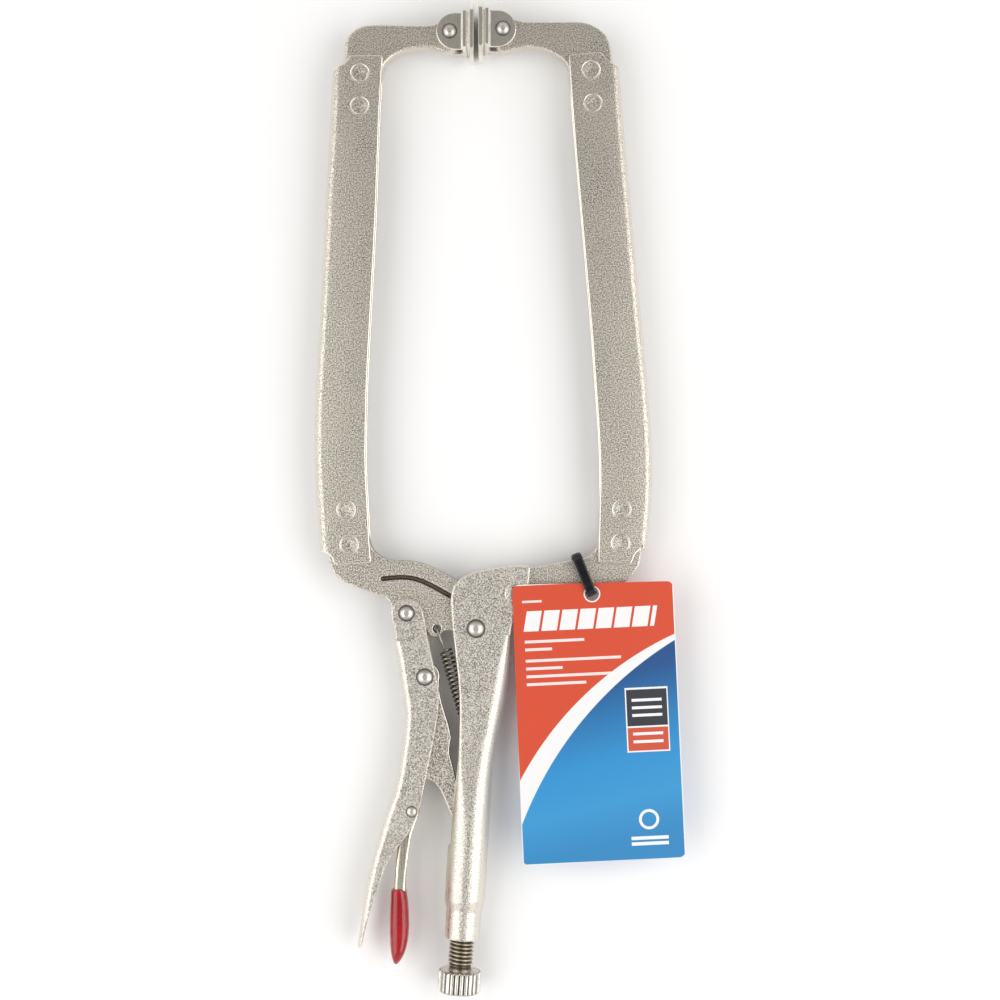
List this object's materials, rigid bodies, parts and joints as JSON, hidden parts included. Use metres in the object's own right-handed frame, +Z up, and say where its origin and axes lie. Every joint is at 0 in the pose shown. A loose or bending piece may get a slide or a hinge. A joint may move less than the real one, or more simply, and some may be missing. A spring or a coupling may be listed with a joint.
{
  "type": "locking clamp pliers",
  "caption": "C-shaped locking clamp pliers: long folded-sheet arms, swivel pads, toggle lever with release, knurled adjusting screw and a tied hang tag.",
  "frame": {"origin": "bottom centre of the bounding box of the tool lying flat with its tag", "axes": "+Y from the screw knob towards the pads, +X from the movable arm towards the fixed arm, +Z up out of the tool's side"},
  "size_m": [0.1698, 0.457, 0.022],
  "materials": {
    "blasted_nickel": "shot-blasted nickel plate",
    "smooth_nickel": "smooth nickel plate",
    "bright_rivet": "bright domed rivets",
    "spring_steel": "oiled spring wire",
    "hardened_steel": "hardened tip",
    "screw_plating": "yellowish plated thread",
    "bright_plating": "bright plated knurl",
    "red_vinyl": "glossy dipped vinyl",
    "black_nylon": "ribbed nylon",
    "printed_card": "printed card"
  },
  "bodies": {
    "fixed_frame": {"fixed_handle": "blasted_nickel", "fixed_jaw_base": "blasted_nickel", "fixed_arm_channel": "blasted_nickel", "fixed_jaw_tip": "blasted_nickel", "fixed_arm_rivets": "blasted_nickel", "fixed_jaw_rivet": "blasted_nickel", "jaw_pivot_rivet": "bright_rivet", "tag_tie": "black_nylon", "tension_spring": "spring_steel"},
    "movable_jaw": {"movable_jaw_base": "blasted_nickel", "movable_arm_channel": "blasted_nickel", "movable_jaw_tip": "blasted_nickel", "movable_arm_rivets": "blasted_nickel", "handle_pivot_rivet": "bright_rivet"},
    "lever_handle": {"lever_handle": "blasted_nickel", "link_rivet": "bright_rivet", "release_lever_rivet": "bright_rivet"},
    "toggle_link": {"toggle_link": "blasted_nickel"},
    "release_lever": {"release_lever": "smooth_nickel", "release_lever_sleeve": "red_vinyl"},
    "fixed_pad": {"fixed_pad_bracket": "smooth_nickel", "fixed_pad_face": "smooth_nickel", "fixed_pad_rivet": "bright_rivet"},
    "movable_pad": {"movable_pad_bracket": "smooth_nickel", "movable_pad_face": "smooth_nickel", "movable_pad_rivet": "bright_rivet"},
    "screw_tip": {"screw_tip": "hardened_steel"},
    "adjusting_screw": {"adjusting_screw": "screw_plating", "screw_knob": "bright_plating"},
    "hang_tag": {"hang_tag": "printed_card"}
  },
  "joints": [
    {"name": "jaw_pivot", "type": "hinge", "parent": "fixed_frame", "child": "movable_jaw", "pos_m": [-0.01088, -0.06023, 0.011], "axis": [0, 0, 1], "range_deg": [0, 36], "deforming": ["tension_spring"]},
    {"name": "lever_pivot", "type": "hinge", "parent": "movable_jaw", "child": "lever_handle", "pos_m": [-0.04268, -0.05323, 0.011], "axis": [0, 0, -1], "range_deg": [0, 97.2]},
    {"name": "link_pivot", "type": "hinge", "parent": "lever_handle", "child": "toggle_link", "pos_m": [-0.03428, -0.08243, 0.011], "axis": [0, 0, 1], "range_deg": [0, 86.4]},
    {"name": "release_pivot", "type": "hinge", "parent": "lever_handle", "child": "release_lever", "pos_m": [-0.04028, -0.14403, 0.011], "axis": [0, 0, -1], "range_deg": [0, 8], "stiffness_Nm_per_rad": 0.2},
    {"name": "fixed_pad_swivel", "type": "hinge", "parent": "fixed_frame", "child": "fixed_pad", "pos_m": [0.00142, 0.21447, 0.011], "axis": [0, 0, 1], "range_deg": [0, 18]},
    {"name": "movable_pad_swivel", "type": "hinge", "parent": "movable_jaw", "child": "movable_pad", "pos_m": [-0.02298, 0.21327, 0.011], "axis": [0, 0, -1], "range_deg": [0, 18]},
    {"name": "screw_feed", "type": "slide", "parent": "fixed_frame", "child": "screw_tip", "axis": [-0.0648, -0.9979, 0], "range_m": [0, 0.0181]},
    {"name": "screw_turn", "type": "hinge", "parent": "screw_tip", "child": "adjusting_screw", "pos_m": [-0.01428, -0.15583, 0.011], "axis": [-0.0648, -0.9979, 0], "range_deg": [0, 3600]},
    {"name": "tag_swing", "type": "hinge", "parent": "fixed_frame", "child": "hang_tag", "pos_m": [0.04212, -0.04433, 0.0189], "axis": [0, 0, 1], "range_deg": [-3, 80]}
  ],
  "couplings": [
    {"joint": "lever_pivot", "follows": "jaw_pivot", "ratio": 2.7},
    {"joint": "link_pivot", "follows": "jaw_pivot", "ratio": 2.4},
    {"joint": "fixed_pad_swivel", "follows": "jaw_pivot", "ratio": 0.5},
    {"joint": "movable_pad_swivel", "follows": "jaw_pivot", "ratio": 0.5},
    {"joint": "screw_turn", "follows": "screw_feed", "rad_per_m": 3463.2}
  ]
}
